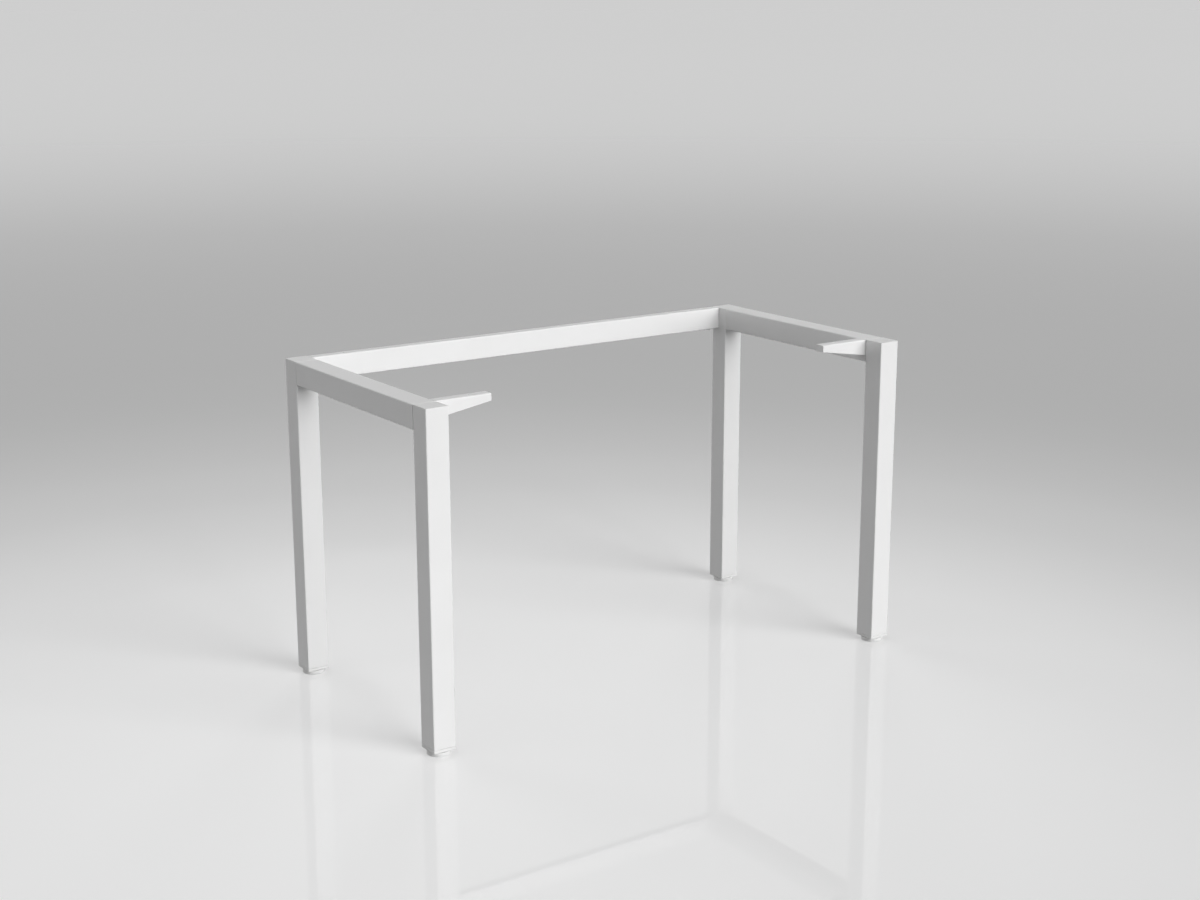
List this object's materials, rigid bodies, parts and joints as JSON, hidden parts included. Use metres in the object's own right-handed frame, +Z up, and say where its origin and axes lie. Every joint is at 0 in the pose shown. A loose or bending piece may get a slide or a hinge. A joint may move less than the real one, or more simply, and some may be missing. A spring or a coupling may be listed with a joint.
{
  "type": "desk frame",
  "caption": "Free-standing steel desk frame: square tube legs and side rails, a slimmer back rail, tapered front brackets and levelling feet, open at the front for the knees.",
  "frame": {"origin": "on the floor, at the centre of the frame's outline", "axes": "+X along the width to the sitter's right, +Y to the back rail, +Z up"},
  "size_m": [1.2, 0.6, 0.7],
  "materials": {
    "powder_coat": "white satin powder coat on steel, with a fine orange-peel texture",
    "white_plastic": "white moulded plastic, matt",
    "zinc_steel": "bright zinc plate"
  },
  "bodies": {
    "frame": {"back_rail": "powder_coat", "back_rail_screws": "zinc_steel", "bracket_left": "powder_coat", "bracket_right": "powder_coat", "foot_nuts": "zinc_steel", "foot_plug_front_left": "white_plastic", "foot_plug_front_right": "white_plastic", "foot_plug_rear_left": "white_plastic", "foot_plug_rear_right": "white_plastic", "leg_front_left": "powder_coat", "leg_front_right": "powder_coat", "leg_rear_left": "powder_coat", "leg_rear_right": "powder_coat", "leg_top_plate_front_left": "powder_coat", "leg_top_plate_front_right": "powder_coat", "leg_top_plate_rear_left": "powder_coat", "leg_top_plate_rear_right": "powder_coat", "side_rail_left": "powder_coat", "side_rail_right": "powder_coat", "side_rail_screws": "zinc_steel", "spigot_back_left": "powder_coat", "spigot_back_right": "powder_coat", "spigot_front_left": "powder_coat", "spigot_front_right": "powder_coat", "spigot_rear_left": "powder_coat", "spigot_rear_right": "powder_coat"},
    "foot_front_left": {"foot_stud_front_left": "zinc_steel", "foot_pad_front_left": "white_plastic"},
    "foot_rear_left": {"foot_stud_rear_left": "zinc_steel", "foot_pad_rear_left": "white_plastic"},
    "foot_front_right": {"foot_stud_front_right": "zinc_steel", "foot_pad_front_right": "white_plastic"},
    "foot_rear_right": {"foot_stud_rear_right": "zinc_steel", "foot_pad_rear_right": "white_plastic"}
  },
  "joints": [
    {"name": "level_front_left", "type": "slide", "parent": "frame", "child": "foot_front_left", "axis": [0, 0, -1], "range_m": [-0.0012, 0.015]},
    {"name": "level_rear_left", "type": "slide", "parent": "frame", "child": "foot_rear_left", "axis": [0, 0, -1], "range_m": [-0.0012, 0.015]},
    {"name": "level_front_right", "type": "slide", "parent": "frame", "child": "foot_front_right", "axis": [0, 0, -1], "range_m": [-0.0012, 0.015]},
    {"name": "level_rear_right", "type": "slide", "parent": "frame", "child": "foot_rear_right", "axis": [0, 0, -1], "range_m": [-0.0012, 0.015]}
  ]
}
